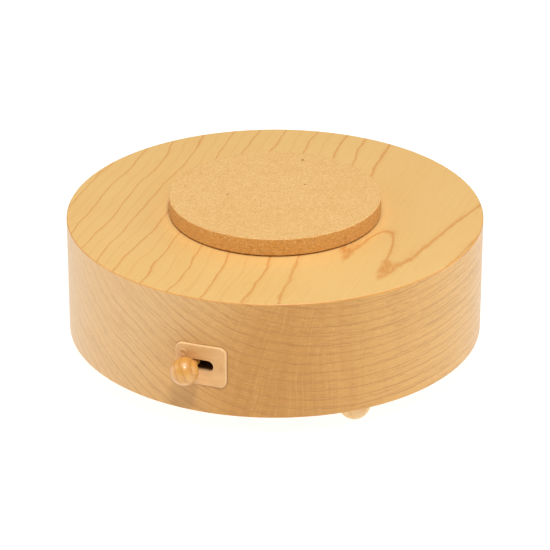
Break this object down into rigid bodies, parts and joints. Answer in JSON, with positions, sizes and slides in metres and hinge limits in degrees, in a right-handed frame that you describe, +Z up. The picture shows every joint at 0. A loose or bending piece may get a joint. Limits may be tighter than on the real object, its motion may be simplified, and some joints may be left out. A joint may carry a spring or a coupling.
{
  "type": "turntable music box base",
  "caption": "Round wooden music box base with a spring-driven movement that turns a small disc on its top, a side stop knob, ball feet and a winding key underneath.",
  "frame": {"origin": "on the turntable's axis, at the level the feet stand on", "axes": "+Z up along the turntable's axis; -Y towards the stop knob; +X to the right when the knob faces the viewer"},
  "size_m": [0.118, 0.1271, 0.0464],
  "materials": {
    "maple": "flat-sawn pale hardwood, clear satin lacquer",
    "foot_wood": "turned pale hardwood, clear satin lacquer",
    "knob_wood": "turned golden hardwood, clear gloss varnish",
    "fibreboard": "medium-density fibreboard, unfinished and finely speckled",
    "plate_plastic": "moulded tan plastic, satin",
    "cast_zinc": "die-cast zinc alloy, as cast",
    "plated_steel": "nickel-plated steel",
    "spring_steel": "hardened spring steel",
    "screw_steel": "zinc-plated steel",
    "brass": "machined brass"
  },
  "bodies": {
    "case": {"wood_case": "maple", "foot_front_left": "foot_wood", "foot_front_right": "foot_wood", "foot_back_right": "foot_wood", "foot_back_left": "foot_wood", "bottom_cover": "fibreboard", "cover_screws": "screw_steel", "stop_plate": "plate_plastic", "top_bushing": "brass", "bedplate": "cast_zinc", "movement_screws": "screw_steel", "inner_bearing_bracket": "plated_steel", "outer_bearing_bracket": "plated_steel", "bracket_screws": "screw_steel", "comb": "spring_steel", "comb_screws": "screw_steel", "governor_frame": "plated_steel", "governor_screws": "screw_steel", "clutch_spring": "spring_steel", "lever_post": "plated_steel", "lever_clip": "spring_steel"},
    "turntable": {"turntable_disc": "fibreboard", "turntable_hub": "plated_steel", "hub_screws": "screw_steel", "output_post": "plated_steel", "spring_barrel": "brass", "barrel_lid": "brass", "mainspring": "spring_steel"},
    "cylinder": {"cylinder_drum": "brass", "cylinder_arbor": "plated_steel", "cylinder_pinion": "brass", "cylinder_gear": "brass"},
    "governor": {"governor_pinion": "plated_steel", "worm_wheel": "brass"},
    "fly": {"worm_shaft": "plated_steel", "air_brake": "brass"},
    "winding": {"winding_arbor": "plated_steel", "winding_key": "plated_steel"},
    "stop_lever": {"stop_arm": "plated_steel", "lever_knob": "knob_wood"}
  },
  "joints": [
    {"name": "turntable_turn", "type": "hinge", "parent": "case", "child": "turntable", "pos_m": [0, 0, 0.02], "axis": [0, 0, 1], "continuous": true},
    {"name": "cylinder_turn", "type": "hinge", "parent": "case", "child": "cylinder", "pos_m": [0, -0.02, 0.0275], "axis": [0, 1, 0], "continuous": true},
    {"name": "governor_turn", "type": "hinge", "parent": "case", "child": "governor", "pos_m": [-0.00875, -0.033, 0.0275], "axis": [0, 1, 0], "continuous": true},
    {"name": "fly_turn", "type": "hinge", "parent": "case", "child": "fly", "pos_m": [-0.01405, -0.034, 0.0275], "axis": [0, 0, 1], "continuous": true},
    {"name": "winding_turn", "type": "hinge", "parent": "case", "child": "winding", "pos_m": [0, 0, 0.01], "axis": [0, 0, 1], "continuous": true},
    {"name": "stop_lever_swing", "type": "hinge", "parent": "case", "child": "stop_lever", "pos_m": [0, -0.04, 0.0212], "axis": [0, 0, 1], "range_deg": [0, 13.4]}
  ],
  "couplings": [
    {"joint": "cylinder_turn", "follows": "turntable_turn", "ratio": -2},
    {"joint": "governor_turn", "follows": "turntable_turn", "ratio": 8},
    {"joint": "fly_turn", "follows": "turntable_turn", "ratio": -160}
  ]
}
